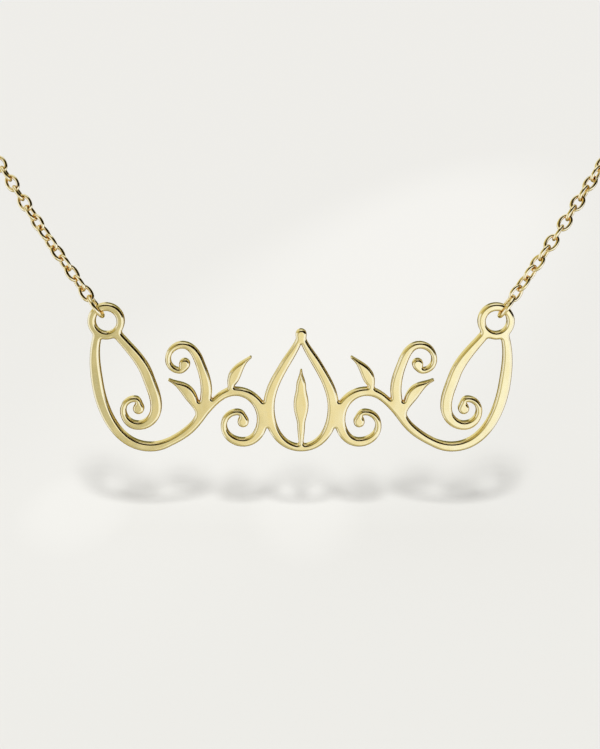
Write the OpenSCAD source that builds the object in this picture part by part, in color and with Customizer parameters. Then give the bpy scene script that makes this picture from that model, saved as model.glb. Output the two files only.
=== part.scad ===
// Nameplate necklace: a flat cut-out scroll plate with an eyelet at each top corner, hung by two
// jump rings from a fine chain that closes behind the neck with a ring clasp.
// Millimetres, +Z up, front towards -Y. The origin is the middle of the clasp, at the nape of the neck.

/* [Plate] */
// Distance between the centres of the two eyelets
eyelet_spacing = 35; // [28:0.5:45]
// Height from the eyelet centres down to the lowest edge of the plate
plate_drop = 12; // [9.5:0.25:16]
// Thickness of the plate
plate_t = 1.1; // [0.8:0.05:1.3]
// Width of a full stroke of the scrollwork
full_w = 1.0; // [0.7:0.05:1.3]
// Width of a thin stroke of the scrollwork
thin_w = 0.5; // [0.35:0.05:0.7]
// Diameter of the beads that end the curls
bead_d = 1.0; // [0.7:0.05:1.3]

/* [Eyelets] */
// Outer diameter of an eyelet
eyelet_d = 3.3; // [2.9:0.05:4]
// Diameter of the hole in an eyelet
hole_d = 1.9; // [1.7:0.05:2.3]
// Depth of the eased edge round each hole
hole_ease = 0.2; // [0.1:0.05:0.25]

/* [Jump rings] */
// Outer diameter of a jump ring
jump_d = 2.5; // [2.4:0.05:3.2]
// Wire of a jump ring
jump_wire = 0.35; // [0.25:0.05:0.45]

/* [Chain] */
// Width over the links of the chain
chain_d = 1.2; // [0.8:0.1:2]

/* [Clasp] */
// Outer diameter of the clasp ring
clasp_d = 5.5; // [4.5:0.25:8]
// Tube diameter of the clasp ring
clasp_wire = 1.2; // [0.8:0.1:1.4]
// Outer diameter of the small eye that the chain hooks into
eye_d = 2.2; // [1.6:0.1:3]
// Wire of the small eye
eye_wire = 0.5; // [0.3:0.05:0.6]
// Length of the thumb knob on the clasp ring
knob_len = 1.0; // [0.4:0.1:2]
// Outer diameter of the ring that the clasp closes on
end_ring_d = 4.0; // [3.4:0.1:6]
// Wire of the ring that the clasp closes on
end_ring_wire = 0.6; // [0.4:0.05:0.8]

/* [Fit] */
// Clearance between pieces that hang in one another
gap = 0.15; // [0.1:0.01:0.2]

/* [Hidden] */
$fn = 48;
GOLD = [0.86, 0.78, 0.52];

// Where the plate hangs in front of the throat
plate_y = -114;
eyelet_z = -95;

// The chain leaves each eyelet up and outwards at this angle to the horizontal, seen from the front
pull_angle = 55;

// Jump ring: both corners of the eased hole wall stay clear of the ring's inner curve. That sets how
// far beyond the wall the ring's centre lies, on the side that the chain pulls.
inner_r = jump_d/2 - jump_wire - gap;
wall_corner = sqrt(inner_r*inner_r - pow(plate_t/2 - hole_ease, 2));
face_corner = sqrt(inner_r*inner_r - pow(plate_t/2, 2)) + hole_ease;
jump_centre = hole_d/2 + min(wall_corner, face_corner);
chain_start = jump_centre + jump_d/2 + gap;

// Clasp: the two rings hook through each other and their whole length is centred on the origin
clasp_r = (clasp_d - clasp_wire)/2;
end_ring_r = (end_ring_d - end_ring_wire)/2;
eye_sink = 0.3;
ring_reach = clasp_r + end_ring_r - clasp_wire/2 - end_ring_wire/2 - gap;
clasp_side = clasp_d/2 + eye_d - eye_sink;
clasp_x = (end_ring_d/2 + ring_reach - clasp_side)/2;
end_ring_x = clasp_x - ring_reach;
chain_end = clasp_x + clasp_side + gap;
knob_d = 0.8;
knob_angle = 55;

// Route of the right chain after its jump ring: over the collar bone, round the side of the neck
// and in to the clasp. The left chain is its mirror image.
ROUTE = [
    [24.2, -112, -85.6],
    [33, -105, -73],
    [42.5, -94, -57.5],
    [51.5, -79, -40],
    [58, -61, -24],
    [60, -42, -11.5],
    [55.5, -23, -3.5],
    [42, -8.5, 0],
    [22, -1.5, 0.5],
];
ROUTE_STEPS = 4;
TUBE_SIDES = 8;
// The loop lies close to a sloping plane with this normal
LOOP_NORMAL = [0, -0.65, 0.76];

// Scrollwork: the right half of the plate, drawn on a grid of 100 units from the middle to the
// eyelet and 69 units from the eyelets' height to the lowest edge.
GRID_W = 100;
GRID_H = 69;
DEG_PER_STEP = 15;
// Columns: across, up, heading in degrees, weight (0 a thin stroke, 1 a full stroke)
OUTER_BOW = [
    [104, -6, 290, 0.5],
    [105, -33, 262, 1],
    [78, -66.5, 180, 0.6],
    [55, -54, 138, 0.1],
    [34, -37, 180, 0.5],
    [20, -51.5, 270, 1],
    [30, -64, 0, 0.5],
    [40, -55, 90, 0.1],
    [33, -48, 180, 0],
    [30, -53, 290, 0],
];
INNER_STEM = [
    [95.5, -5.5, 232, 0.5],
    [79, -29, 252, 1],
    [75, -46, 275, 1],
    [85, -55, 5, 0.5],
    [92, -47, 90, 0.1],
    [86, -41, 180, 0],
    [84, -46, 290, 0],
];
TENDRIL = [
    [66, -63, 160, 0],
    [49, -38, 95, 1],
    [52.5, -21, 70, 0.6],
    [61, -12.5, 0, 0.2],
    [68.5, -20, 270, 0],
    [62.5, -26, 180, 0],
    [60, -22.5, 70, 0],
];
SIDE_LEAF = [
    [53, -48, 70, 0],
    [58, -38, 55, 1.1],
    [68, -31, 25, -0.6],
];
CREST_LEAF = [
    [37, -37, 100, -0.4],
    [34.5, -29, 115, 1.1],
    [26, -19, 145, -0.6],
];
MIDDLE_DROP = [
    [0, -67, 0, 0.2],
    [16.5, -43, 95, 1],
    [8.5, -23, 120, 0.6],
    [0, -7, 105, 0.1],
];
DROP_TIP = -7;
MIDDLE_LEAF = [
    [0, -66, 90, -0.2],
    [0, -55, 90, 0.4],
    [0, -44, 90, 1.7],
    [0, -35, 90, 0.8],
    [0, -26, 90, -0.6],
];

// Smallest signed angle from heading a to heading b
function turn(a, b) = let(d = (b - a) % 360) d > 180 ? d - 360 : d < -180 ? d + 360 : d;

// Point on the cubic from row a to row b at share s of the way: a true arc where both ends fit one
function row_point(a, b, s) =
    let(
        chord = norm([b[0] - a[0], b[1] - a[1]]),
        pull = chord/pow(cos(turn(a[2], b[2])/4), 2),
        from = [a[0], a[1]],
        to = [b[0], b[1]]
    )
    (2*pow(s, 3) - 3*s*s + 1)*from + (pow(s, 3) - 2*s*s + s)*pull*[cos(a[2]), sin(a[2])]
    + (3*s*s - 2*pow(s, 3))*to + (pow(s, 3) - s*s)*pull*[cos(b[2]), sin(b[2])];

function steps(a, b) = max(3, ceil(abs(turn(a[2], b[2]))/DEG_PER_STEP));

function stroke_width(weight) = thin_w + weight*(full_w - thin_w);

// Centre line of a stroke in millimetres, with its width as the third column
function centre_line(rows) = [
    for (i = [0 : len(rows) - 2])
        let(a = rows[i], b = rows[i + 1], n = steps(a, b))
        for (k = [i == 0 ? 0 : 1 : n])
            let(s = k/n, p = row_point(a, b, s), w = a[3] + (b[3] - a[3])*s*s*(3 - 2*s))
            [p[0]*eyelet_spacing/2/GRID_W, p[1]*plate_drop/GRID_H, stroke_width(w)]
];

function side_point(line, i, side) =
    let(
        a = line[max(i - 1, 0)],
        b = line[min(i + 1, len(line) - 1)],
        d = [b[0] - a[0], b[1] - a[1]],
        n = [-d[1], d[0]]/norm(d)
    )
    [line[i][0], line[i][1]] + side*line[i][2]/2*n;

function outline(line) = concat(
    [for (i = [0 : len(line) - 1]) side_point(line, i, 1)],
    [for (i = [len(line) - 1 : -1 : 0]) side_point(line, i, -1)]
);

// Vector helpers for the chain's tube
function unit(v) = v/norm(v);

// Point on the smooth curve through p[1] and p[2] at share s of the way between them
function between(p, s) =
    0.5*(2*p[1] + s*(p[2] - p[0]) + s*s*(2*p[0] - 5*p[1] + 4*p[2] - p[3])
    + pow(s, 3)*(3*p[1] - p[0] - 3*p[2] + p[3]));

function tube_path(points) =
    let(
        last = len(points) - 1,
        all = concat([2*points[0] - points[1]], points, [2*points[last] - points[last - 1]])
    )
    [
        for (i = [0 : last - 1])
            for (k = [0 : ROUTE_STEPS - 1])
                between([all[i], all[i + 1], all[i + 2], all[i + 3]], k/ROUTE_STEPS),
        points[last]
    ];

function tube_ring(path, i) =
    let(
        t = unit(path[min(i + 1, len(path) - 1)] - path[max(i - 1, 0)]),
        up = unit(LOOP_NORMAL - (LOOP_NORMAL*t)*t),
        out = cross(t, up)
    )
    [
        for (k = [0 : TUBE_SIDES - 1])
            let(a = 360*(k + 0.5)/TUBE_SIDES)
            path[i] + chain_d/2*(cos(a)*out + sin(a)*up)
    ];

module tube(path) {
    rings = len(path);
    points = [for (i = [0 : rings - 1]) each tube_ring(path, i)];
    walls = [
        for (i = [0 : rings - 2])
            for (k = [0 : TUBE_SIDES - 1])
                let(n = (k + 1) % TUBE_SIDES)
                [i*TUBE_SIDES + k, i*TUBE_SIDES + n, (i + 1)*TUBE_SIDES + n, (i + 1)*TUBE_SIDES + k]
    ];
    first_end = [for (k = [TUBE_SIDES - 1 : -1 : 0]) k];
    last_end = [for (k = [0 : TUBE_SIDES - 1]) (rings - 1)*TUBE_SIDES + k];
    polyhedron(points, concat([first_end], walls, [last_end]), convexity = 6);
}

module ring(outer_d, wire) {
    rotate_extrude()
        translate([(outer_d - wire)/2, 0])
            circle(d = wire);
}

module stroke(rows, bead = 0) {
    line = centre_line(rows);
    polygon(outline(line));
    last = line[len(line) - 1];
    translate([last[0], last[1]])
        circle(d = max(bead, last[2]));
}

module half_scroll() {
    stroke(OUTER_BOW, bead_d);
    stroke(INNER_STEM, bead_d);
    stroke(TENDRIL, bead_d);
    stroke(SIDE_LEAF);
    stroke(CREST_LEAF);
    stroke(MIDDLE_DROP);
}

module nameplate() {
    color(GOLD)
        translate([0, plate_y, eyelet_z])
            difference() {
                union() {
                    rotate([90, 0, 0])
                        linear_extrude(plate_t, center = true)
                            union() {
                                half_scroll();
                                mirror([1, 0])
                                    half_scroll();
                                stroke(MIDDLE_LEAF);
                                translate([0, DROP_TIP*plate_drop/GRID_H])
                                    circle(d = full_w);
                            }
                    for (side = [-1, 1])
                        translate([side*eyelet_spacing/2, 0, 0])
                            rotate([90, 0, 0])
                                cylinder(d = eyelet_d, h = plate_t, center = true);
                }
                for (side = [-1, 1])
                    translate([side*eyelet_spacing/2, 0, 0])
                        eyelet_hole();
            }
}

module eyelet_hole() {
    rotate([90, 0, 0]) {
        cylinder(d = hole_d, h = 2*plate_t, center = true);
        for (face = [0, 1])
            mirror([0, 0, face])
                translate([0, 0, plate_t/2 - hole_ease])
                    cylinder(r1 = hole_d/2, r2 = hole_d/2 + 2*hole_ease, h = 2*hole_ease);
    }
}

// Puts children at the right eyelet, with X along the chain's pull and Z along the ring's axis
module at_eyelet(side) {
    translate([side*eyelet_spacing/2, plate_y, eyelet_z])
        mirror([side < 0 ? 1 : 0, 0, 0])
            rotate([0, -pull_angle, 0])
                rotate([90, 0, 0])
                    children();
}

module jump_ring(side) {
    color(GOLD)
        at_eyelet(side)
            translate([jump_centre, 0, 0])
                rotate([90, 0, 0])
                    ring(jump_d, jump_wire);
}

module jump_ring_left() { jump_ring(-1); }

module jump_ring_right() { jump_ring(1); }

function chain_points(side) =
    let(
        start = [
            eyelet_spacing/2 + chain_start*cos(pull_angle),
            plate_y,
            eyelet_z + chain_start*sin(pull_angle)
        ]
    )
    [for (p = concat([start], ROUTE, [[chain_end, 0, 0]])) [side*p[0], p[1], p[2]]];

module chain_right() {
    color(GOLD)
        tube(tube_path(chain_points(1)));
}

module chain_left() {
    color(GOLD)
        mirror([1, 0, 0])
            tube(tube_path(chain_points(1)));
}

module clasp() {
    color(GOLD)
        translate([clasp_x, 0, 0])
            rotate([90, 0, 0]) {
                ring(clasp_d, clasp_wire);
                translate([clasp_d/2 - eye_sink + eye_d/2, 0, 0])
                    ring(eye_d, eye_wire);
                rotate([0, 0, knob_angle])
                    translate([clasp_r, 0, 0])
                        rotate([0, 90, 0])
                            cylinder(d = knob_d, h = clasp_wire/2 + knob_len);
            }
}

module end_ring() {
    color(GOLD)
        translate([end_ring_x, 0, 0])
            ring(end_ring_d, end_ring_wire);
}

nameplate();
jump_ring_left();
jump_ring_right();
chain_left();
chain_right();
clasp();
end_ring();
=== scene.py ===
"""Nameplate necklace: a polished scroll plate hung from a fine cable chain, on a plain studio set."""
import math

import bmesh
import bpy
import numpy as np
from bpy.props import FloatProperty, FloatVectorProperty, PointerProperty
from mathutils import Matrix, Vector, geometry, kdtree


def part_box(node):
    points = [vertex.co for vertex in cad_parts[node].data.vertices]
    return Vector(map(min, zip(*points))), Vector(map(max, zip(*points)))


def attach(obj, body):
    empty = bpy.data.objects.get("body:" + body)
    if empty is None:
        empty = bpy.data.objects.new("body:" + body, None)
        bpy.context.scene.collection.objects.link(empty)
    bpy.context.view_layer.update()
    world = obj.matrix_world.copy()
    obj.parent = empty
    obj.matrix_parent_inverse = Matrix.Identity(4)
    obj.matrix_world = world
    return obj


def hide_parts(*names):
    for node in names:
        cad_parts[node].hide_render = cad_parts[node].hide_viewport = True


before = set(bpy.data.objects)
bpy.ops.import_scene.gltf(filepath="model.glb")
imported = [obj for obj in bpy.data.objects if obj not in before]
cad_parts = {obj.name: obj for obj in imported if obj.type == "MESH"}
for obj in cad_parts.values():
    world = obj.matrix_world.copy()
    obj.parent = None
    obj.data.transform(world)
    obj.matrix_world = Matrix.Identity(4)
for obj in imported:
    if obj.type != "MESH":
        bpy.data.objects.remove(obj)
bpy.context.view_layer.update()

bl_info = {
    "name": "Nameplate Necklace",
    "version": (1, 0, 0),
    "blender": (4, 5, 0),
    "location": "3D View > Sidebar > Necklace",
    "description": "Builds a scroll nameplate, its cable chain, rings and clasp, and a plain studio",
    "category": "Add Mesh",
}

PLATE_LOW, PLATE_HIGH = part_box("nameplate")
PLATE_Y = (PLATE_LOW.y + PLATE_HIGH.y) / 2
PLATE_TOP = PLATE_HIGH.z
MM = 0.001
AXIS_X, AXIS_Y, AXIS_Z = np.eye(3, dtype=int)

# Scrollwork of the plate's right half, on a grid of 100 units from the middle to the eyelet and 69
# units from the eyelets' height to the lowest edge.
# Columns: across, up, heading in degrees, weight (0 a thin stroke, 1 a full stroke)
GRID_W = 100
GRID_H = 69
OUTER_BOW = (
    (104, -6, 290, 0.5),
    (105, -33, 262, 1),
    (78, -66.5, 180, 0.6),
    (55, -54, 138, 0.1),
    (34, -37, 180, 0.5),
    (20, -51.5, 270, 1),
    (30, -64, 0, 0.5),
    (40, -55, 90, 0.1),
    (33, -48, 180, 0),
    (30, -53, 290, 0),
)
INNER_STEM = (
    (95.5, -5.5, 232, 0.5),
    (79, -29, 252, 1),
    (75, -46, 275, 1),
    (85, -55, 5, 0.5),
    (92, -47, 90, 0.1),
    (86, -41, 180, 0),
    (84, -46, 290, 0),
)
TENDRIL = (
    (66, -63, 160, 0),
    (49, -38, 95, 1),
    (52.5, -21, 70, 0.6),
    (61, -12.5, 0, 0.2),
    (68.5, -20, 270, 0),
    (62.5, -26, 180, 0),
    (60, -22.5, 70, 0),
)
SIDE_LEAF = (
    (53, -48, 70, 0),
    (58, -38, 55, 1.1),
    (68, -31, 25, -0.6),
)
CREST_LEAF = (
    (37, -37, 100, -0.4),
    (34.5, -29, 115, 1.1),
    (26, -19, 145, -0.6),
)
MIDDLE_DROP = (
    (0, -67, 0, 0.2),
    (16.5, -43, 95, 1),
    (8.5, -23, 120, 0.6),
    (0, -7, 105, 0.1),
)
DROP_TIP = (0, -7)
MIDDLE_LEAF = (
    (0, -66, 90, -0.2),
    (0, -55, 90, 0.4),
    (0, -44, 90, 1.7),
    (0, -35, 90, 0.8),
    (0, -26, 90, -0.6),
)
CURLED_STROKES = (OUTER_BOW, INNER_STEM, TENDRIL)
PLAIN_STROKES = (SIDE_LEAF, CREST_LEAF)
STEP_DEG = 4
MIN_STEPS = 12

# Working grid of the plate's outline: its pitch, how far a stroke is measured around itself, the
# value beyond that, the room left round the plate, and how far off an outline its outside is tried
PITCH = 0.04 * MM
REACH = 1.2 * MM
FAR = 9 * MM
MARGIN = 0.6 * MM
PROBE = 2 * PITCH

# Points of the plate's mesh. Outlines are cut in fine steps and smoothed, and the mesh keeps a point
# after every such turn or run. Then come rows over the rounded edge, in degrees from the side to the
# flat face, and a grid on the flat face. ROW_SLACK is how much nearer to an outline than its depth a
# row's point may lie, GRID_CLEAR how far the grid keeps off the rounded edge.
FINE_STEP = 0.025 * MM
FEWEST_STEPS = 12
SMOOTHINGS = 3
MAX_TURN = math.radians(9)
MAX_RUN = 0.1 * MM
EDGE_ANGLES = (0, 22.5, 45, 67.5, 82, 90)
ROW_SLACK = 0.1 * FINE_STEP
FACE_GRID = 0.3 * MM
GRID_CLEAR = 0.3 * FACE_GRID
MERGE = 0.002 * MM

# Route of the right chain after its jump ring: over the collar bone, round the side of the neck and
# in to the clasp. The left chain is its mirror image.
ROUTE = np.array((
    (24.2, -112, -85.6),
    (33, -105, -73),
    (42.5, -94, -57.5),
    (51.5, -79, -40),
    (58, -61, -24),
    (60, -42, -11.5),
    (55.5, -23, -3.5),
    (42, -8.5, 0),
    (22, -1.5, 0.5),
)) * MM
ROUTE_STEPS = 60
# The direction that a link's roll is measured from, how steeply the chains pull at the jump rings,
# and the gap left where two links hook
LOOP_NORMAL = np.array((0, -0.65, 0.76))
PULL_ANGLE = math.radians(55)
HOOK_GAP = 0.02 * MM

# How far each side's chain is twisted about itself, from its jump ring on.
# Columns: link number, degrees
TWISTS = {
    -1: ((0, 34), (2, 40), (4, 48), (5, 52), (6, 61), (8, 75), (10, 86), (14, 90), (60, 90)),
    1: ((0, 28), (1, 32), (2, 41), (3, 51), (4, 62), (6, 76), (8, 67), (10, 53), (13, 42), (60, 20)),
}
LINK_POINTS = 24
LINK_SIDES = 10
LINK_SQUARENESS = 2.1
# The play of single links grows over this many links from either end of a chain
CALM_LINKS = 4
PLAY_SEED = 5

# Rings: sides of the wire, points round each, and where, how wide and how deep its closed ends show
RING_SIDES = 24
JUMP_RING_POINTS = 64
JUMP_RING_SEAM = math.radians(70)
END_RING_POINTS = 72
END_RING_SEAM = math.radians(290)
SEAM_ANGLE = 0.012
SEAM_DEPTH = 0.12

# Clasp: steps round its ring in degrees, points round its eye, and the gate between these degrees,
# with the half width of its shoulders, beside the knob
CLASP_STEP = 4
EYE_POINTS = 48
GATE_START = 68
GATE_END = 106
SHOULDER = 0.6
KNOB_ANGLE = math.radians(55)
# Columns: share of the knob's length, share of its radius
KNOB_PROFILE = (
    (0, 0.6),
    (0.44, 0.62),
    (0.48, 0.8),
    (0.53, 0.95),
    (0.58, 1),
    (0.86, 1),
    (0.93, 0.93),
    (0.975, 0.75),
    (0.995, 0.4),
    (1, 0.1),
)

# Gold: its colour at a grazing look, the cloud in its colour, the buffing lines and how much they
# change the polish, and the slow wave
PLATE_GOLD = "plate_gold_polished"
# The chain's gold is lighter than the plate's: painted light that stands in for light on the fine wires
CHAIN_GOLD = "chain_gold_lightened"
GRAZING_GOLD = (0.95, 0.9, 0.62)
CLOUD_SCALE = (2.2 / MM, 1 / MM, 0.5 / MM)
CLOUD_RANGE = (0.35, 0.7)
BUFFING_LEAN = math.radians(28)
BUFFING_SCALE = (700, 7000, 9000)
BUFFING_RANGE = (0.3, 0.7)
POLISH_SPREAD = 0.25
WAVE_SCALE = 0.5
# Warm colour in the gold's corners, partly patina and partly painted shade and gold-on-gold reflection:
# its colour, how far out of the corners it reaches, and how open a place is where it is strongest and
# where it ends
PLATE_CORNER_PATINA_AND_SHADE = ((0.6, 0.27, 0.04), 0.45 * MM)
CHAIN_CORNER_PATINA_AND_SHADE = ((0.8, 0.46, 0.09), 0.6 * MM)
CORNER_PATINA_AND_SHADE_RANGE = (0.25, 0.85)

# Light cards of the studio as the gold sees them, each laid over the ones before. Azimuth 0 is the
# camera's side and 90 the right of the picture.
# Columns: azimuth, half width, elevation, half height, softness (all in degrees), colour
CARDS = (
    (0, 180, 90, 30, 10, (1.0, 1.03, 1.1)),
    (180, 80, 38, 24, 8, (0.85, 0.85, 0.83)),
    (20, 103, 37, 32, 8, (0.42, 0.34, 0.09)),
    (92, 63, 21, 24, 8, (0.42, 0.34, 0.09)),
    (20, 99, 37, 27, 6, (0.012, 0.006, 0.0)),
    (92, 59, 21, 19, 6, (0.012, 0.006, 0.0)),
    (-73, 45, 34, 22, 12, (0.58, 0.5, 0.2)),
    (0, 180, -90, 32, 12, (0.62, 0.6, 0.5)),
    (202, 58, 6, 13, 5, (0.85, 0.83, 0.66)),
    (177, 9, 12, 10, 4, (0.18, 0.17, 0.035)),
    (180, 60, -48, 42, 8, (0.25, 0.2, 0.04)),
    (0, 34, -19, 27, 8, (0.93, 0.885, 0.715)),
    (-15.5, 11.5, -19, 27, 5, (0.54, 0.54, 0.45)),
    (-14, 9.5, -2, 8.5, 3, (0.52, 0.5, 0.35)),
    (11.5, 9, -19, 27, 4, (1.07, 1.13, 1.26)),
    (14, 9, -3, 8, 4, (1.18, 1.26, 1.42)),
    (68, 46, -19, 24, 8, (1.05, 1.12, 1.42)),
    (-88, 42, -12, 32, 8, (1.0, 1.06, 1.32)),
    (142, 32, -11, 14, 6, (0.25, 0.18, 0.04)),
)
BARE_STUDIO = (0.5, 0.46, 0.26)

# Pools of light painted into the floor's glow behind and under the plate, so tall that height makes no
# difference.
# Columns: across, behind the plate's front, heading in degrees, half width, half length, share of the
# half sizes within which the pool is even
PAINTED_LIGHT_POOLS = (
    (0.018, 0.17, -10.5, 0.036, 0.25, 0.36),
    (-0.0205, 0.004, 0, 0.008, 0.024, 0.3),
    (0, 0.004, 0, 0.0075, 0.024, 0.3),
)
POOL_HEIGHT = 10

# Studio: the middle of the round floor as a share of its radius, its sides and the steps of its
# curve, the lamps in the key's row, what they cast shadows of, and the camera's film and clipping
FLOOR_CORE = 0.02
FLOOR_SIDES = 96
COVE_STEPS = 12
KEY_LAMPS = 3
SHADOW_MAKERS = "shadow_makers"
FILM_WIDTH = 36
NEAREST = 0.01
FARTHEST = 50


def turn(a, b):
    """Smallest signed angle from heading a to heading b, in degrees."""
    return (b - a + 180) % 360 - 180


def row_point(a, b, share):
    """Point on the cubic from row a to row b: a true arc where both ends fit one."""
    chord = math.hypot(b[0] - a[0], b[1] - a[1])
    pull = chord / math.cos(math.radians(turn(a[2], b[2]) / 4)) ** 2
    point = []
    for axis, wave in ((0, math.cos), (1, math.sin)):
        point.append(
            (2 * share**3 - 3 * share**2 + 1) * a[axis]
            + (share**3 - 2 * share**2 + share) * pull * wave(math.radians(a[2]))
            + (3 * share**2 - 2 * share**3) * b[axis]
            + (share**3 - share**2) * pull * wave(math.radians(b[2]))
        )
    return point


def centre_line(rows, plate):
    """Points along a stroke: across, up and half width, in metres from between the eyelets."""
    line = []
    for a, b in zip(rows, rows[1:]):
        count = max(MIN_STEPS, math.ceil(abs(turn(a[2], b[2])) / STEP_DEG))
        for k in range(0 if a is rows[0] else 1, count + 1):
            share = k / count
            across, up = row_point(a, b, share)
            weight = a[3] + (b[3] - a[3]) * share * share * (3 - 2 * share)
            width = plate.thin_stroke + weight * (plate.full_stroke - plate.thin_stroke)
            x = across * plate.eyelet_spacing / 2 / GRID_W
            line.append((x, up * plate.drop / GRID_H, width / 2))
    return line


def mirrored(line):
    """The same stroke on the plate's other side."""
    return [(-across, up, half) for across, up, half in line]


def stroke_field(line, xs, zs):
    """Distance from each grid point to the edge of a stroke, negative inside it."""
    field = np.full((len(zs), len(xs)), FAR)
    for a, b in zip(line, line[1:]):
        reach = max(a[2], b[2]) + REACH
        left, right = np.searchsorted(xs, (min(a[0], b[0]) - reach, max(a[0], b[0]) + reach))
        low, high = np.searchsorted(zs, (min(a[1], b[1]) - reach, max(a[1], b[1]) + reach))
        px = xs[None, left:right] - a[0]
        pz = zs[low:high, None] - a[1]
        dx, dz = b[0] - a[0], b[1] - a[1]
        share = np.clip((px * dx + pz * dz) / (dx * dx + dz * dz), 0, 1)
        gap = np.hypot(px - share * dx, pz - share * dz) - a[2] - share * (b[2] - a[2])
        near = field[low:high, left:right]
        np.minimum(near, gap, out=near)
    return field


def disc_field(centre, radius, xs, zs):
    """Distance from each grid point to the edge of a disc, negative inside it."""
    return np.hypot(xs[None, :] - centre[0], zs[:, None] - centre[1]) - radius


def fuse(a, b, fillet):
    """Joins two shapes with a small fillet in the corners between them."""
    overlap = np.clip(fillet - np.abs(a - b), 0, None) / fillet
    return np.minimum(a, b) - overlap**2 * fillet / 4


def plate_field(plate, xs, zs):
    """Distance field of the whole plate, eyelets and holes with it."""
    drop = centre_line(MIDDLE_DROP, plate)
    field = np.minimum(stroke_field(drop, xs, zs), stroke_field(mirrored(drop), xs, zs))
    tip = (DROP_TIP[0], DROP_TIP[1] * plate.drop / GRID_H)
    field = fuse(field, disc_field(tip, plate.full_stroke / 2, xs, zs), plate.fillet)
    field = fuse(field, stroke_field(centre_line(MIDDLE_LEAF, plate), xs, zs), plate.fillet)
    for rows in CURLED_STROKES + PLAIN_STROKES:
        right_line = centre_line(rows, plate)
        for line in (right_line, mirrored(right_line)):
            stroke = stroke_field(line, xs, zs)
            if rows in CURLED_STROKES:
                stroke = fuse(stroke, disc_field(line[-1][:2], plate.bead / 2, xs, zs), plate.fillet)
            field = fuse(field, stroke, plate.fillet)
    eyelets = [(side * plate.eyelet_spacing / 2, 0) for side in (-1, 1)]
    for eyelet in eyelets:
        field = fuse(field, disc_field(eyelet, plate.eyelet / 2, xs, zs), plate.fillet)
    for eyelet in eyelets:
        field = np.maximum(field, -disc_field(eyelet, plate.hole / 2, xs, zs))
    return field


def trace(field, xs, zs):
    """Closed outlines along which the field is zero, each an array of points."""
    inside = field < 0
    crossings = {}

    def crossing(k, i, steep):
        """Where the grid edge that starts at row k, column i meets the outline."""
        key = (k, i, steep)
        if key not in crossings:
            here = field[k, i]
            there = field[k + 1, i] if steep else field[k, i + 1]
            share = here / (here - there)
            across = xs[i] + (0 if steep else share * PITCH)
            up = zs[k] + (share * PITCH if steep else 0)
            crossings[key] = (across, up)
        return key

    level = inside[:, :-1] != inside[:, 1:]
    upright = inside[:-1, :] != inside[1:, :]
    count = level[:-1, :].astype(int) + level[1:, :] + upright[:, :-1] + upright[:, 1:]
    joined = {}
    for k, i in np.argwhere(count > 0):
        edges = (((k, i, False), level[k, i]), ((k, i + 1, True), upright[k, i + 1]),
                 ((k + 1, i, False), level[k + 1, i]), ((k, i, True), upright[k, i]))
        found = [crossing(*edge) for edge, crossed in edges if crossed]
        if len(found) == 4 and inside[k, i] != (field[k:k + 2, i:i + 2].mean() < 0):
            found = found[1:] + found[:1]
        for a, b in zip(found[::2], found[1::2]):
            joined.setdefault(a, []).append(b)
            joined.setdefault(b, []).append(a)
    loops = []
    while joined:
        loop, here = [], next(iter(joined))
        while here in joined:
            loop.append(crossings[here])
            ahead = joined.pop(here)
            here = next((key for key in ahead if key in joined), None)
        loops.append(np.array(loop))
    return loops


def evened(loop):
    """The outline with its points at even fine steps, lightly smoothed."""
    closed = np.vstack((loop, loop[:1]))
    along = np.concatenate(((0,), np.cumsum(np.hypot(*np.diff(closed, axis=0).T))))
    count = max(FEWEST_STEPS, round(along[-1] / FINE_STEP))
    at = np.linspace(0, along[-1], count, endpoint=False)
    even = np.column_stack([np.interp(at, along, closed[:, axis]) for axis in (0, 1)])
    for _ in range(SMOOTHINGS):
        even = (np.roll(even, 1, axis=0) + 2 * even + np.roll(even, -1, axis=0)) / 4
    return even


def kept_points(loop):
    """Indices of the outline points that the mesh keeps: closer together where it bends."""
    ahead = np.roll(loop, -1, axis=0) - np.roll(loop, 1, axis=0)
    heading = np.unwrap(np.arctan2(ahead[:, 1], ahead[:, 0]))
    runs = np.hypot(*(np.roll(loop, -1, axis=0) - loop).T)
    kept, run = [0], 0
    for i in range(1, len(loop)):
        run += runs[i - 1]
        if run >= MAX_RUN or abs(heading[i] - heading[kept[-1]]) >= MAX_TURN:
            kept.append(i)
            run = 0
    return kept


def outward(loop, field, xs, zs):
    """Unit directions out of the plate along an outline."""
    ahead = np.roll(loop, -2, axis=0) - np.roll(loop, 2, axis=0)
    out = np.column_stack((ahead[:, 1], -ahead[:, 0]))
    out /= np.hypot(*out.T)[:, None]
    probe = loop + PROBE * out
    columns = np.clip(np.rint((probe[:, 0] - xs[0]) / PITCH).astype(int), 0, len(xs) - 1)
    rows = np.clip(np.rint((probe[:, 1] - zs[0]) / PITCH).astype(int), 0, len(zs) - 1)
    return out if np.median(field[rows, columns]) > 0 else -out


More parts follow.
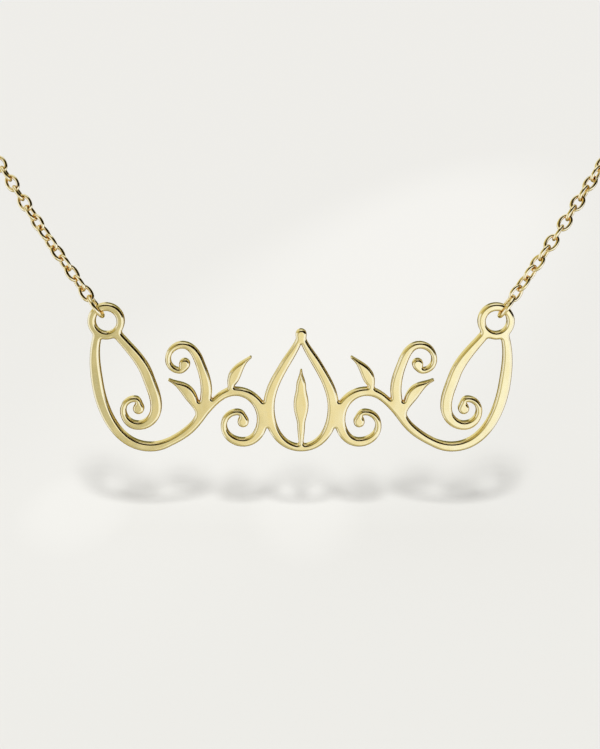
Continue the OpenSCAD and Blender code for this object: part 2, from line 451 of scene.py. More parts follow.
def plate_points(plate, field, xs, zs):
    """Points of one face: place, direction and edge angle of each, and the outline's edges."""
    loops = [evened(loop) for loop in trace(field, xs, zs)]
    directions = [outward(loop, field, xs, zs) for loop in loops]
    tree = kdtree.KDTree(sum(len(loop) for loop in loops))
    for i, point in enumerate(np.vstack(loops)):
        tree.insert((point[0], point[1], 0), i)
    tree.balance()
    points, edges = [], []
    kept = [kept_points(loop) for loop in loops]
    for loop, way, chosen in zip(loops, directions, kept):
        first = len(points)
        points += [(loop[i], way[i], 0) for i in chosen]
        edges += [(first + k, first + (k + 1) % len(chosen)) for k in range(len(chosen))]
    for angle in EDGE_ANGLES[1:]:
        depth = plate.edge_width * (1 - math.cos(math.radians(angle)))
        for loop, way, chosen in zip(loops, directions, kept):
            for i in chosen:
                spot = loop[i] - depth * way[i]
                clear = tree.find((spot[0], spot[1], 0))[2]
                if clear > depth - ROW_SLACK:
                    points.append((spot, way[i], angle))
    for z in np.arange(zs[0], zs[-1], FACE_GRID):
        for x in np.arange(xs[0], xs[-1], FACE_GRID):
            row, column = round((z - zs[0]) / PITCH), round((x - xs[0]) / PITCH)
            inner = field[min(row, len(zs) - 1), min(column, len(xs) - 1)] < -plate.edge_width
            if inner and tree.find((x, z, 0))[2] > plate.edge_width + GRID_CLEAR:
                points.append((np.array((x, z)), np.array((0.0, 0.0)), 90))
    return points, edges


def sides_of(triangle):
    """The sides of a triangle, each in the triangle's own direction."""
    a, b, c = triangle
    return (a, b), (b, c), (c, a)


def inside_faces(spots, triangles, outline, field, xs, zs):
    """The triangles that lie in the plate: whole patches between outlines are kept or left out."""
    beside = {}
    for i, triangle in enumerate(triangles):
        for side in sides_of(triangle):
            if frozenset(side) not in outline:
                beside.setdefault(frozenset(side), []).append(i)
    kept, waiting = [], set(range(len(triangles)))
    while waiting:
        patch, edge = [], [waiting.pop()]
        while edge:
            i = edge.pop()
            patch.append(i)
            for side in sides_of(triangles[i]):
                for n in beside.get(frozenset(side), ()):
                    if n in waiting:
                        waiting.remove(n)
                        edge.append(n)
        middles = [sum((spots[v] for v in triangles[i]), Vector((0, 0))) / 3 for i in patch]
        depths = [field[round((m.y - zs[0]) / PITCH), round((m.x - xs[0]) / PITCH)] for m in middles]
        if sorted(depths)[len(depths) // 2] < 0:
            kept += [triangles[i] for i in sorted(patch)]
    return kept


def plate_mesh(plate):
    """Vertices, faces and vertex normals of the plate, front and back alike with rounded edges."""
    half = plate.eyelet_spacing / 2 + plate.eyelet / 2 + MARGIN
    xs = np.arange(-half, half, PITCH)
    zs = np.arange(-plate.drop - MARGIN, plate.eyelet / 2 + MARGIN, PITCH)
    field = plate_field(plate, xs, zs)
    points, edges = plate_points(plate, field, xs, zs)
    flat = [Vector(place) for place, _, _ in points]
    spots, sides, triangles, sources, lines, _ = geometry.delaunay_2d_cdt(flat, edges, [], 0, MERGE)
    outline = {frozenset(side) for side, line in zip(sides, lines) if line}
    triangles = inside_faces(spots, triangles, outline, field, xs, zs)
    used = sorted({v for t in triangles for v in t})
    order = {v: i for i, v in enumerate(used)}
    triangles = [tuple(order[v] for v in t) for t in triangles]
    spots = [spots[v] for v in used]
    sources = [sources[v] for v in used]
    front, normals = [], []
    for spot, source in zip(spots, sources):
        _, way, angle = points[min(source)]
        lean = math.radians(angle)
        rise = plate.thickness / 2 - plate.edge_depth * (1 - math.sin(lean))
        front.append((spot.x, -rise, spot.y))
        normals.append((way[0] * math.cos(lean), -math.sin(lean), way[1] * math.cos(lean)))
    count = len(front)
    verts = front + [(x, -y, z) for x, y, z in front]
    normals += [(x, -y, z) for x, y, z in normals]
    open_edges = {}
    for triangle in triangles:
        for edge in sides_of(triangle):
            if open_edges.pop(edge[::-1], None) is None:
                open_edges[edge] = True
    faces = triangles + [tuple(count + v for v in reversed(t)) for t in triangles]
    faces += [(b, a, count + a, count + b) for a, b in open_edges]
    place = np.array((0, PLATE_Y, PLATE_TOP - plate.eyelet / 2))
    return np.array(verts) + place, faces, normals


def closed_tube(path, normal, radii, sides):
    """Vertices and faces of a tube along a closed flat path, with a radius for each point."""
    ahead = np.roll(path, -1, axis=0) - np.roll(path, 1, axis=0)
    ahead /= np.linalg.norm(ahead, axis=1)[:, None]
    out = np.cross(ahead, normal)
    angles = np.linspace(0, 2 * math.pi, sides, endpoint=False)
    around = np.cos(angles)[None, :, None] * out[:, None, :] + np.sin(angles)[None, :, None] * normal
    verts = path[:, None, :] + np.asarray(radii)[:, None, None] * around
    count = len(path)
    faces = []
    for i in range(count):
        here, there = i * sides, (i + 1) % count * sides
        for k in range(sides):
            n = (k + 1) % sides
            faces.append((here + k, there + k, there + n, here + n))
    return verts.reshape(-1, 3), faces


def wire_ring(centre, radius, along, across, angles, radii):
    """Vertices and faces of a ring at the given angles, which run from along to across."""
    turns = np.cos(angles)[:, None] * along + np.sin(angles)[:, None] * across
    path = np.asarray(centre) + radius * turns
    return closed_tube(path, np.cross(along, across), radii, RING_SIDES)


def turned(profile, base, axis, sides):
    """A turned solid: profile rows are distance along the axis and radius, with both ends on it."""
    axis = Vector(axis).normalized()
    side = axis.orthogonal().normalized()
    up = axis.cross(side)
    verts, faces = [], []
    for along, radius in profile:
        for k in range(sides):
            angle = 2 * math.pi * k / sides
            spoke = math.cos(angle) * side + math.sin(angle) * up
            verts.append(Vector(base) + along * axis + radius * spoke)
    for i in range(len(profile) - 1):
        for k in range(sides):
            n = (k + 1) % sides
            faces.append((i * sides + k, i * sides + n, (i + 1) * sides + n, (i + 1) * sides + k))
    faces.append(tuple(reversed(range(sides))))
    faces.append(tuple((len(profile) - 1) * sides + k for k in range(sides)))
    return verts, faces


def new_object(name, verts, faces, normals=None):
    """A smooth-shaded object in the scene, its faces pointing outwards."""
    mesh = bpy.data.meshes.new(name)
    mesh.from_pydata([tuple(v) for v in verts], [], faces)
    work = bmesh.new()
    work.from_mesh(mesh)
    bmesh.ops.recalc_face_normals(work, faces=work.faces)
    work.to_mesh(mesh)
    work.free()
    mesh.shade_smooth()
    if normals is not None:
        mesh.normals_split_custom_set_from_vertices(normals)
    mesh.update()
    obj = bpy.data.objects.new(name, mesh)
    bpy.context.scene.collection.objects.link(obj)
    return obj


def fit(obj, material, body, node):
    """Gives a finished piece its material and its place in the necklace."""
    obj.data.materials.append(material)
    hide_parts(node)
    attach(obj, body)


def wire_piece(context, name, node, mesh):
    """A finished ring or chain in the chain's gold, in place of its CAD node."""
    fit(new_object(name, *mesh), gold_for(context, CHAIN_GOLD), "necklace", node)


def merged(obj, *parts):
    """Solders the parts onto obj, as one skin."""
    for part in parts:
        joint = obj.modifiers.new("solder", "BOOLEAN")
        joint.operation = "UNION"
        joint.solver = "EXACT"
        joint.object = part
        bpy.context.view_layer.objects.active = obj
        bpy.ops.object.modifier_apply(modifier=joint.name)
        bpy.data.objects.remove(part)
    return obj


def smooth_route(points):
    """The chain's route as many fine points on one smooth curve through the given ones."""
    ends = (2 * points[0] - points[1], 2 * points[-1] - points[-2])
    p = np.vstack((ends[0], points, ends[1]))
    s = np.linspace(0, 1, ROUTE_STEPS, endpoint=False)[:, None]
    pieces = []
    for i in range(len(points) - 1):
        a, b, c, d = p[i:i + 4]
        pieces.append(0.5 * (2 * b + s * (c - a) + s**2 * (2 * a - 5 * b + 4 * c - d)
                             + s**3 * (3 * b - a - 3 * c + d)))
    return np.vstack(pieces + [points[-1]])


def middle_of(node):
    """Middle of a CAD node's box."""
    low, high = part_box(node)
    return (low + high) / 2


def rising(angle, side=1):
    """Direction that rises at an angle, to the right of the picture or to the left (side -1)."""
    return np.array((side * math.cos(angle), 0, math.sin(angle)))


def unit(v):
    """The same directions with a length of 1."""
    return v / np.linalg.norm(v, axis=-1, keepdims=True)


def roll_to(face, t):
    """Angle of a link about its own length t, so that its flat side looks towards face."""
    up = unit(LOOP_NORMAL - (LOOP_NORMAL @ t) * t)
    return math.atan2(np.dot(face, np.cross(t, up)), np.dot(face, up))


def chain_mesh(chain, side, ring_centre, ring_reach, last_x, last_face):
    """One side's links, from its jump ring to the clasp end, every link hooked in the next."""
    half_inner = chain.link_length / 2 - chain.wire
    pull = rising(PULL_ANGLE, side)
    first = np.array(ring_centre) + (ring_reach + half_inner - HOOK_GAP) * pull
    last = np.array((side * (last_x + half_inner - HOOK_GAP), 0, 0))
    route = smooth_route(np.vstack((first, ROUTE * (side, 1, 1), last)))
    along = np.concatenate(((0,), np.cumsum(np.linalg.norm(np.diff(route, axis=0), axis=1))))
    count = round(along[-1] / (chain.link_length - 2 * chain.wire)) + 1
    at = np.linspace(0, along[-1], count)
    centres = np.column_stack([np.interp(at, along, route[:, axis]) for axis in range(3)])
    ahead = unit(np.gradient(centres, axis=0))
    start_roll = roll_to(-AXIS_Y, ahead[0])
    end_roll = roll_to(last_face, ahead[-1])
    end_roll = start_roll + (end_roll - start_roll + math.pi / 2) % math.pi - math.pi / 2
    place = np.arange(count)
    share = place / (count - 1)
    calm = np.clip(np.minimum(place, count - 1 - place) / CALM_LINKS, 0, 1)
    play = chain.play * calm * np.random.default_rng(PLAY_SEED).uniform(-1, 1, count)
    links, degrees = zip(*TWISTS[side])
    twist = np.radians(np.interp(place, (*links, count - 1), (*degrees, 0)))
    roll = start_roll + (end_roll - start_roll) * share + place % 2 * math.pi / 2 + twist + play
    up = unit(LOOP_NORMAL - (ahead @ LOOP_NORMAL)[:, None] * ahead)
    out = np.cross(ahead, up)
    normal = np.cos(roll)[:, None] * up + np.sin(roll)[:, None] * out
    across = np.cross(normal, ahead)
    local, faces = link_template(chain, at[1])
    basis = np.stack((ahead, across, normal), axis=1)
    verts = centres[:, None, :] + local @ basis
    links = [tuple(v + i * len(local) for v in face) for i in range(count) for face in faces]
    return verts.reshape(-1, 3), links


def link_template(chain, pitch):
    """An oval wire link about its own middle, lengthwise along X and flat in XY."""
    angles = np.linspace(0, 2 * math.pi, LINK_POINTS, endpoint=False)
    long_half = pitch / 2 + chain.wire / 2 + HOOK_GAP / 4
    wide_half = (chain.link_width - chain.wire) / 2
    swing = 2 / LINK_SQUARENESS
    x = long_half * np.sign(np.cos(angles)) * np.abs(np.cos(angles)) ** swing
    y = wide_half * np.sign(np.sin(angles)) * np.abs(np.sin(angles)) ** swing
    path = np.column_stack((x, y, np.zeros(LINK_POINTS)))
    return closed_tube(path, AXIS_Z, np.full(LINK_POINTS, chain.wire / 2), LINK_SIDES)


def put(tree, socket, value):
    """Links another node's output to a socket, or sets the value of the socket itself."""
    if isinstance(value, bpy.types.NodeSocket):
        tree.links.new(value, socket)
    else:
        socket.default_value = value


def feed(tree, node, **named):
    """Links or sets a node's inputs by name."""
    for name, value in named.items():
        put(tree, node.inputs[name.replace("_", " ")], value)


def add_node(tree, kind, *inputs, **named):
    """A shader node, its first inputs in order, its settings and other inputs by name."""
    node = tree.nodes.new(kind)
    for name in [name for name in named if hasattr(node, name)]:
        setattr(node, name, named.pop(name))
    feed(tree, node, **named)
    for socket, value in zip(node.inputs, inputs):
        put(tree, socket, value)
    return node


def maths(tree, operation, *inputs):
    """Result of a sum on values or other nodes' outputs."""
    return add_node(tree, "ShaderNodeMath", *inputs, operation=operation).outputs[0]


def vector_maths(tree, operation, *inputs):
    """Results of a sum on vectors, of which one is a vector and one a value."""
    return add_node(tree, "ShaderNodeVectorMath", *inputs, operation=operation).outputs


def ranged(tree, value, low, high, at_low=0, at_high=1, **named):
    """The value's place between low and high, laid out from at_low to at_high."""
    return add_node(tree, "ShaderNodeMapRange", value, low, high, at_low, at_high, **named).outputs[0]


def faded(tree, value, near, far, full=1):
    """Full up to near, falling smoothly to 0 at far."""
    return ranged(tree, value, near, far, full, 0, interpolation_type="SMOOTHSTEP")


def mixed(tree, share, first, second):
    """Colour between the first and the second, which the share runs to."""
    mix = add_node(tree, "ShaderNodeMix", data_type="RGBA")
    for k, value in ((0, share), (6, first), (7, second)):
        put(tree, mix.inputs[k], value)
    return mix.outputs[2]


def gold(name, main, deep, roughness, waviness, grain, corners):
    """Polished gold: a faint cloud in its colour, patina and painted shade in corners, buffing lines
    and a slight wave.
    """
    material = bpy.data.materials.new(name)
    material.use_nodes = True
    tree = material.node_tree
    place = add_node(tree, "ShaderNodeTexCoord").outputs["Object"]
    drawn = add_node(tree, "ShaderNodeMapping", Vector=place, Scale=CLOUD_SCALE).outputs[0]
    cloud = add_node(tree, "ShaderNodeTexNoise", Vector=drawn, Scale=1.0, Detail=3.0, Roughness=0.55)
    tone = ranged(tree, cloud.outputs["Fac"], *CLOUD_RANGE)
    clouded = mixed(tree, tone, (*main, 1), (*deep, 1))
    patina_and_shade_colour, patina_and_shade_reach = corners
    # Patina, painted shade and painted gold-on-gold reflection warm the colour where the gold is closed
    # in
    open_place = add_node(tree, "ShaderNodeAmbientOcclusion", samples=4, Distance=patina_and_shade_reach)
    patina_and_shade_mask = faded(tree, open_place.outputs["AO"], *CORNER_PATINA_AND_SHADE_RANGE)
    patina_and_shaded_colour = mixed(tree, patina_and_shade_mask, clouded, (*patina_and_shade_colour, 1))
    lay = add_node(tree, "ShaderNodeMapping", Vector=place, Scale=BUFFING_SCALE,
                   Rotation=(0, BUFFING_LEAN, 0)).outputs[0]
    lines = add_node(tree, "ShaderNodeTexNoise", Vector=lay, Scale=1.0, Detail=2.0, Roughness=0.6)
    polish = ranged(tree, lines.outputs["Fac"], *BUFFING_RANGE,
                    roughness * (1 - POLISH_SPREAD), roughness * (1 + POLISH_SPREAD))
    in_mm = add_node(tree, "ShaderNodeMapping", Vector=place, Scale=(1 / MM,) * 3).outputs[0]
    swell = add_node(tree, "ShaderNodeTexNoise", Vector=in_mm, Scale=WAVE_SCALE, Detail=1.0)
    wave = add_node(tree, "ShaderNodeBump", Height=swell.outputs["Fac"], Distance=waviness)
    scratch = add_node(tree, "ShaderNodeBump", Height=lines.outputs["Fac"], Distance=grain,
                       Normal=wave.outputs["Normal"])
    feed(tree, tree.nodes["Principled BSDF"], Metallic=1, Specular_Tint=(*GRAZING_GOLD, 1),
         Base_Color=patina_and_shaded_colour, Roughness=polish, Normal=scratch.outputs["Normal"])
    return material


def gold_for(context, name):
    """The plate's or the chain's gold, made once."""
    if name in bpy.data.materials:
        return bpy.data.materials[name]
    finish = context.scene.necklace_finish
    if name == PLATE_GOLD:
        return gold(name, finish.plate_colour, finish.plate_deep, finish.plate_roughness,
                    finish.waviness, finish.grain, PLATE_CORNER_PATINA_AND_SHADE)
    return gold(name, finish.chain_colour, finish.chain_deep, finish.chain_roughness,
                0.0, finish.grain, CHAIN_CORNER_PATINA_AND_SHADE)


def window(tree, value, middle, half, soft):
    """1 within half of the middle angle, falling smoothly to 0 over soft degrees."""
    off = maths(tree, "WRAP", maths(tree, "SUBTRACT", value, middle), 180, -180)
    return faded(tree, maths(tree, "ABSOLUTE", off), half - soft / 2, half + soft / 2)


def studio_world(studio):
    """Surroundings that the gold reflects: a bare studio and its light cards."""
    world = bpy.data.worlds.new("studio")
    bpy.context.scene.world = world
    world.use_nodes = True
    tree = world.node_tree
    place = add_node(tree, "ShaderNodeTexCoord").outputs["Generated"]
    parts = add_node(tree, "ShaderNodeSeparateXYZ", place).outputs
    elevation = maths(tree, "DEGREES", maths(tree, "ARCSINE", parts["Z"]))
    front = maths(tree, "MULTIPLY", parts["Y"], -1)
    azimuth = maths(tree, "DEGREES", maths(tree, "ARCTAN2", parts["X"], front))
    light = (*BARE_STUDIO, 1)
    for card_az, half_width, card_el, half_height, soft, card_light in CARDS:
        wide = window(tree, azimuth, card_az, half_width, soft)
        high = window(tree, elevation, card_el, half_height, soft)
        light = mixed(tree, maths(tree, "MULTIPLY", wide, high), light, (*card_light, 1))
    feed(tree, tree.nodes["Background"], Strength=studio.surround, Color=light)


def studio_floor(studio):
    """A wide pale floor that curves up into its own backdrop all round."""
    floor_z = PLATE_LOW.z - studio.floor_gap
    profile = [(0, FLOOR_CORE * studio.floor_radius), (0, studio.floor_radius)]
    for k in range(1, COVE_STEPS + 1):
        angle = math.pi / 2 * k / COVE_STEPS
        up = studio.cove * (1 - math.cos(angle))
        profile.append((up, studio.floor_radius + studio.cove * math.sin(angle)))
    profile.append((2 * studio.cove, studio.floor_radius + studio.cove))
    verts, faces = turned(profile, (0, 0, floor_z), (0, 0, 1), FLOOR_SIDES)
    floor = new_object("studio_floor", verts, faces[:-1])
    floor.data.materials.append(floor_material(studio))
    floor.visible_glossy = False
    floor.visible_diffuse = False
    floor.visible_shadow = False


def key_place(studio):
    """Middle of the key's row of lamps."""
    floor_z = PLATE_LOW.z - studio.floor_gap
    return Vector((0, PLATE_LOW.y - studio.key_distance, floor_z + studio.key_height))


def floor_material(studio):
    """Pale backdrop, lit through from behind so that it looks even, with faint pools of light painted
    into its glow.
    """
    material = bpy.data.materials.new("pale_floor")
    material.use_nodes = True
    tree = material.node_tree
    place = add_node(tree, "ShaderNodeNewGeometry").outputs
    to_key = vector_maths(tree, "SUBTRACT", key_place(studio), place["Position"])["Vector"]
    way = vector_maths(tree, "NORMALIZE", to_key)["Vector"]
    slant = vector_maths(tree, "DOT_PRODUCT", way, place["Normal"])["Value"]
    lit = maths(tree, "MAXIMUM", slant, 0)
    evened_glow = maths(tree, "MULTIPLY_ADD", lit, -studio.key_share, studio.glow)
    # Painted pools of light: extra glow in soft patches on the floor
    light = 0
    for across, behind, heading, half_width, half_length, core in PAINTED_LIGHT_POOLS:
        pool = add_node(tree, "ShaderNodeMapping", vector_type="TEXTURE", Vector=place["Position"],
                        Location=(across, PLATE_LOW.y + behind, 0),
                        Rotation=(0, 0, math.radians(heading)),
                        Scale=(half_width, half_length, POOL_HEIGHT)).outputs[0]
        reach = vector_maths(tree, "LENGTH", pool)["Value"]
        light = maths(tree, "MAXIMUM", faded(tree, reach, core, 1, studio.pool), light)
    feed(tree, tree.nodes["Principled BSDF"], Roughness=1, Specular_IOR_Level=0,
         Base_Color=(*studio.floor_colour, 1), Emission_Color=(*studio.glow_colour, 1),
         Emission_Strength=maths(tree, "ADD", evened_glow, light))
    return material


def studio_key(studio):
    """A row of lamps over the camera that lays the plate's soft shadow on the floor behind it."""
    light = bpy.data.lights.new("key", "POINT")
    light.energy = studio.key / KEY_LAMPS
    light.shadow_soft_size = studio.key_size / 2
    light.use_nodes = True
    tree = light.node_tree
    even = add_node(tree, "ShaderNodeLightFalloff", Strength=1)
    feed(tree, tree.nodes["Emission"], Strength=even.outputs["Constant"])
    blockers = bpy.data.collections.new(SHADOW_MAKERS)
    row = Vector((0, studio.key_height, studio.key_distance)).normalized() * studio.key_row
    for k in range(KEY_LAMPS):
        lamp = bpy.data.objects.new(f"key_{k}", light)
        bpy.context.scene.collection.objects.link(lamp)
        lamp.location = key_place(studio) + (k / (KEY_LAMPS - 1) - 0.5) * row
        lamp.visible_glossy = False
        lamp.visible_camera = False
        lamp.light_linking.blocker_collection = blockers


def studio_camera(studio):
    """The camera, in front of the plate and a little above it."""
    optics = bpy.data.cameras.new("camera")
    optics.lens = studio.lens
    optics.sensor_width = FILM_WIDTH
    optics.clip_start = NEAREST
    optics.clip_end = FARTHEST
    camera = bpy.data.objects.new("camera", optics)
    bpy.context.scene.collection.objects.link(camera)
    bpy.context.scene.camera = camera
    back = Vector((0, -math.cos(studio.camera_height), math.sin(studio.camera_height)))
    aim = Vector((studio.aim_x, PLATE_LOW.y, PLATE_TOP - studio.aim_drop))
    camera.location = aim + studio.camera_distance * back
    camera.rotation_euler = back.to_track_quat("Z", "Y").to_euler()


def length(name, text, default):
    """A length that the user can change, in metres."""
    return FloatProperty(name=name, description=text, default=default, min=0, unit="LENGTH",
                         precision=6)


def amount(name, text, default):
    """A plain number that the user can change."""
    return FloatProperty(name=name, description=text, default=default)


def tilt(name, text, degrees):
    """An angle that the user can change."""
    return FloatProperty(name=name, description=text, default=math.radians(degrees), subtype="ANGLE")


def colour(name, text, default):
    """A colour that the user can change."""
    return FloatVectorProperty(name=name, description=text, default=default, subtype="COLOR",
                               min=0, max=1)


class PlateSizes(bpy.types.PropertyGroup):
    """Sizes of the nameplate"""
    eyelet_spacing: length("Eyelet spacing", "Distance between the eyelets' centres", 0.035)
    drop: length("Drop", "Height from the eyelets' centres to the lowest edge", 0.012)
    thickness: length("Thickness", "Thickness of the plate", PLATE_HIGH.y - PLATE_LOW.y)
    full_stroke: length("Full stroke", "Width of a full stroke", 0.001)
    thin_stroke: length("Thin stroke", "Width of a thin stroke", 0.0005)
    bead: length("Bead", "Diameter of the beads that end the curls", 0.001)
    eyelet: length("Eyelet", "Outer diameter of an eyelet", 0.0033)
    hole: length("Hole", "Diameter of an eyelet's hole", 0.0019)
    edge_width: length("Edge width", "Width of the rounded edge, seen from the front", 0.00026)
    edge_depth: length("Edge depth", "Depth of the rounded edge, seen from the side", 0.00023)
    fillet: length("Fillet", "Reach of the fillets where strokes meet", 0.00022)


class ChainSizes(bpy.types.PropertyGroup):
    """Sizes of the chain's links"""
    link_length: length("Link length", "Outer length of a link", 0.00175)
    link_width: length("Link width", "Outer width of a link", 0.00128)
    wire: length("Wire", "Wire of a link", 0.00032)
    play: tilt("Play", "How far single links turn from the chain's twist", 5)


class RingSizes(bpy.types.PropertyGroup):
    """Sizes of the rings and the clasp"""
    jump_ring: length("Jump ring", "Outer diameter of a jump ring", 0.0025)
    jump_wire: length("Jump ring wire", "Wire of a jump ring", 0.00035)
    clasp: length("Clasp", "Outer diameter of the clasp ring", 0.0055)
    clasp_tube: length("Clasp tube", "Tube of the clasp ring", 0.0012)
    gate_wire: length("Gate wire", "Wire of the clasp's gate", 0.00088)
    eye: length("Eye", "Outer diameter of the clasp's eye", 0.0022)
    eye_wire: length("Eye wire", "Wire of the clasp's eye", 0.0005)
    eye_sink: length("Eye sink", "How far the eye sinks into the clasp ring", 0.0003)
    knob: length("Knob", "Diameter of the thumb knob", 0.0008)
    knob_length: length("Knob length", "How far the knob stands out of the clasp ring", 0.001)
    end_ring: length("End ring", "Outer diameter of the ring that the clasp closes on", 0.004)
    end_ring_wire: length("End ring wire", "Wire of that ring", 0.0006)


class GoldFinish(bpy.types.PropertyGroup):
    """Look of the gold"""
    plate_colour: colour("Plate gold", "Main colour of the plate", (0.90, 0.79, 0.47))
    plate_deep: colour("Plate gold, deep", "Colour in the plate's faint cloud", (0.89, 0.755, 0.40))
    # Lighter than the plate's gold: painted light for the fine wires
    chain_colour: colour("Chain gold", "Main colour of the chain and rings", (0.95, 0.83, 0.52))
    chain_deep: colour("Chain gold, deep", "Colour in the chain's faint cloud", (0.92, 0.79, 0.45))
    plate_roughness: amount("Plate polish", "Roughness of the plate", 0.14)
    chain_roughness: amount("Chain polish", "Roughness of the chain and rings", 0.06)
    waviness: length("Waviness", "Height of the slight wave left by hand polishing", 0.00003)
    grain: length("Grain", "Depth of the buffing lines", 0.0000006)


class StudioSettings(bpy.types.PropertyGroup):
    """Floor, lights and camera"""
    floor_gap: length("Floor gap", "Height of the plate above the floor", 0.00625)
    floor_radius: length("Floor radius", "Radius of the flat floor", 6.0)
    cove: length("Cove", "Radius of the curve up into the backdrop", 1.2)
    floor_colour: colour("Floor colour", "How the floor takes the light", (0.30, 0.30, 0.29))
    glow_colour: colour("Glow colour", "Light that comes through the floor", (1.0, 0.99, 0.97))
    glow: amount("Glow", "Strength of the light through the floor", 0.712)
    key_share: amount("Key share", "Part of the floor's light that comes from the key", 0.4)
    pool: amount("Pool", "Extra light in the pools on the floor", 0.05)
    surround: amount("Surround", "Strength of the surroundings", 1.0)
    key: amount("Key", "Strength of the key lamps together", 52.0)
    key_height: length("Key height", "Height of the key's row above the floor", 0.1416)
    key_distance: length("Key distance", "From the plate to the key's row", 0.135)
    key_size: length("Key size", "Diameter of each key lamp", 0.026)
    key_row: length("Key row", "Distance between the first and the last key lamp", 0.034)
    camera_height: tilt("Camera height", "Elevation of the camera", 11)
    camera_distance: length("Camera distance", "From the camera to the plate's front", 0.1872)
    lens: FloatProperty(name="Lens", description="Focal length", default=100, unit="CAMERA")
    aim_x: FloatProperty(name="Aim across", description="Where the camera aims, from the middle",
                         default=-0.0001, unit="LENGTH", precision=6)
    aim_drop: length("Aim drop", "Where the camera aims, below the plate's top", 0.00645)


class NECKLACE_OT_nameplate(bpy.types.Operator):
    """Make the scroll plate with its eyelets"""
    bl_idname = "necklace.nameplate"
    bl_label = "Nameplate"

    def execute(self, context):
        verts, faces, normals = plate_mesh(context.scene.necklace_plate)
        obj = new_object("scroll_plate", verts, faces, normals)
        fit(obj, gold_for(context, PLATE_GOLD), "nameplate", "nameplate")
        if SHADOW_MAKERS in bpy.data.collections:
            bpy.data.collections[SHADOW_MAKERS].objects.link(obj)
        return {"FINISHED"}


def ring_angles(count, seam):
    """Even angles round a ring, with a close group where its ends meet."""
    even = np.linspace(0, 2 * math.pi, count, endpoint=False) + seam + math.pi / count
    close = seam + np.array((-SEAM_ANGLE, 0, SEAM_ANGLE))
    return np.sort(np.concatenate((even % (2 * math.pi), close % (2 * math.pi))))


def seamed_ring(centre, outer, wire, along, across, seam, count):
    """A wire ring with the fine groove of its closed ends."""
    angles = ring_angles(count, seam)
    groove = np.abs(angles - seam % (2 * math.pi)) < SEAM_ANGLE / 2
    radii = wire / 2 * np.where(groove, 1 - SEAM_DEPTH, 1)
    return wire_ring(centre, (outer - wire) / 2, along, across, angles, radii)


class NECKLACE_OT_jump_rings(bpy.types.Operator):
    """Make the two wire rings that hold the plate"""
    bl_idname = "necklace.jump_rings"
    bl_label = "Jump rings"

    def execute(self, context):
        sizes = context.scene.necklace_rings
        for side, node in ((-1, "jump_ring_left"), (1, "jump_ring_right")):
            ring = seamed_ring(middle_of(node), sizes.jump_ring, sizes.jump_wire,
                               rising(PULL_ANGLE, side), AXIS_Y, JUMP_RING_SEAM, JUMP_RING_POINTS)
            wire_piece(context, node + "_wire", node, ring)
        return {"FINISHED"}


class NECKLACE_OT_chains(bpy.types.Operator):
    """Make the links of both chains, from the jump rings to the clasp and the end ring"""
    bl_idname = "necklace.chains"
    bl_label = "Chains"

    def execute(self, context):
        chain = context.scene.necklace_chain
        rings = context.scene.necklace_rings
        clasp_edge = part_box("clasp")[1].x - rings.eye_wire
        end_edge = -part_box("end_ring")[0].x - rings.end_ring_wire
        ends = ((-1, "left", end_edge, AXIS_Y), (1, "right", clasp_edge, AXIS_Z))
        for side, word, last_x, last_face in ends:
            centre = middle_of("jump_ring_" + word)
            reach = rings.jump_ring / 2 - rings.jump_wire
            links = chain_mesh(chain, side, centre, reach, last_x, last_face)
            wire_piece(context, f"chain_{word}_links", "chain_" + word, links)
        return {"FINISHED"}


class NECKLACE_OT_clasp(bpy.types.Operator):
    """Make the clasp ring with its gate, knob and eye"""
    bl_idname = "necklace.clasp"
    bl_label = "Clasp"

    def execute(self, context):
        sizes = context.scene.necklace_rings
        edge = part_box("clasp")[1].x
        centre = np.array((edge - sizes.clasp / 2 - sizes.eye + sizes.eye_sink, 0, 0))
        shoulders = [end + side * SHOULDER for end in (GATE_START, GATE_END) for side in (-1, 1)]
        angles = np.radians(np.sort(np.concatenate((np.arange(0, 360, CLASP_STEP), shoulders))))
        gate = (angles > math.radians(GATE_START)) & (angles < math.radians(GATE_END))
        radii = np.where(gate, sizes.gate_wire / 2, sizes.clasp_tube / 2)
        ring_radius = (sizes.clasp - sizes.clasp_tube) / 2
        ring = new_object("clasp_ring", *wire_ring(centre, ring_radius, AXIS_X, AXIS_Z, angles, radii))
        angles = np.linspace(0, 2 * math.pi, EYE_POINTS, endpoint=False)
        radii = np.full(EYE_POINTS, sizes.eye_wire / 2)
        eye_centre = (edge - sizes.eye / 2, 0, 0)
        eye_radius = (sizes.eye - sizes.eye_wire) / 2
        eye = new_object("clasp_eye", *wire_ring(eye_centre, eye_radius, AXIS_X, AXIS_Z, angles, radii))
        way = rising(KNOB_ANGLE)
        tall = sizes.clasp_tube / 2 + sizes.knob_length
        profile = [(share * tall, width * sizes.knob / 2) for share, width in KNOB_PROFILE]
        knob = new_object("clasp_knob", *turned(profile, centre + ring_radius * way, way, RING_SIDES))
        whole = merged(ring, eye, knob)
        fit(whole, gold_for(context, CHAIN_GOLD), "necklace", "clasp")
        return {"FINISHED"}


class NECKLACE_OT_end_ring(bpy.types.Operator):
    """Make the ring that the clasp closes on"""
    bl_idname = "necklace.end_ring"
    bl_label = "End ring"

    def execute(self, context):
        sizes = context.scene.necklace_rings
        ring = seamed_ring(middle_of("end_ring"), sizes.end_ring, sizes.end_ring_wire,
                           AXIS_X, AXIS_Y, END_RING_SEAM, END_RING_POINTS)
        wire_piece(context, "end_ring_wire", "end_ring", ring)
        return {"FINISHED"}


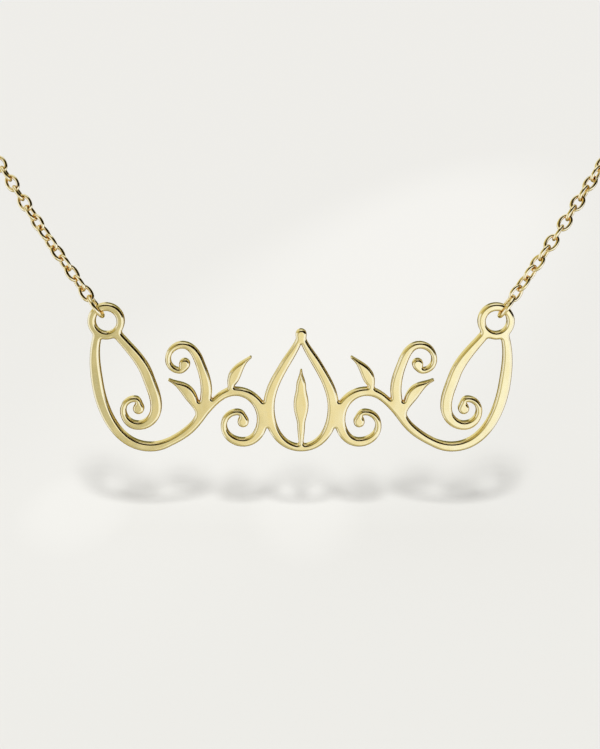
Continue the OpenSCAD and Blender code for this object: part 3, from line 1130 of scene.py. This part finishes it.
class NECKLACE_OT_stage(bpy.types.Operator):
    """Set up the floor, the lights and the camera"""
    bl_idname = "necklace.stage"
    bl_label = "Stage"

    def execute(self, context):
        studio = context.scene.necklace_studio
        studio_camera(studio)
        studio_floor(studio)
        studio_world(studio)
        studio_key(studio)
        context.scene.view_settings.view_transform = "Standard"
        return {"FINISHED"}


class NECKLACE_PT_panel(bpy.types.Panel):
    """Sizes, finish and build buttons of the necklace"""
    bl_idname = "NECKLACE_PT_panel"
    bl_label = "Nameplate Necklace"
    bl_space_type = "VIEW_3D"
    bl_region_type = "UI"
    bl_category = "Necklace"

    def draw(self, context):
        layout = self.layout
        for group_name, (_, title) in PROPERTY_GROUPS.items():
            group = getattr(context.scene, group_name)
            box = layout.box()
            box.label(text=title)
            for key in group.bl_rna.properties.keys():
                if key not in ("rna_type", "name"):
                    box.prop(group, key)
        for operator in OPERATORS:
            layout.operator(operator.bl_idname)


PROPERTY_GROUPS = {
    "necklace_plate": (PlateSizes, "Plate"),
    "necklace_chain": (ChainSizes, "Chain"),
    "necklace_rings": (RingSizes, "Rings and clasp"),
    "necklace_finish": (GoldFinish, "Finish"),
    "necklace_studio": (StudioSettings, "Studio"),
}
OPERATORS = (
    NECKLACE_OT_stage,
    NECKLACE_OT_nameplate,
    NECKLACE_OT_jump_rings,
    NECKLACE_OT_chains,
    NECKLACE_OT_clasp,
    NECKLACE_OT_end_ring,
)


def register():
    """Adds the properties, operators and panel to Blender."""
    for name, (group, _) in PROPERTY_GROUPS.items():
        bpy.utils.register_class(group)
        setattr(bpy.types.Scene, name, PointerProperty(type=group))
    for operator in OPERATORS:
        bpy.utils.register_class(operator)
    bpy.utils.register_class(NECKLACE_PT_panel)


def unregister():
    """Takes the properties, operators and panel out again."""
    bpy.utils.unregister_class(NECKLACE_PT_panel)
    for operator in reversed(OPERATORS):
        bpy.utils.unregister_class(operator)
    for name, (group, _) in PROPERTY_GROUPS.items():
        delattr(bpy.types.Scene, name)
        bpy.utils.unregister_class(group)


def main():
    """Builds the whole scene."""
    register()
    bpy.ops.necklace.stage()
    bpy.ops.necklace.nameplate()
    bpy.ops.necklace.jump_rings()
    bpy.ops.necklace.chains()
    bpy.ops.necklace.clasp()
    bpy.ops.necklace.end_ring()
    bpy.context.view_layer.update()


if __name__ == "__main__":
    main()
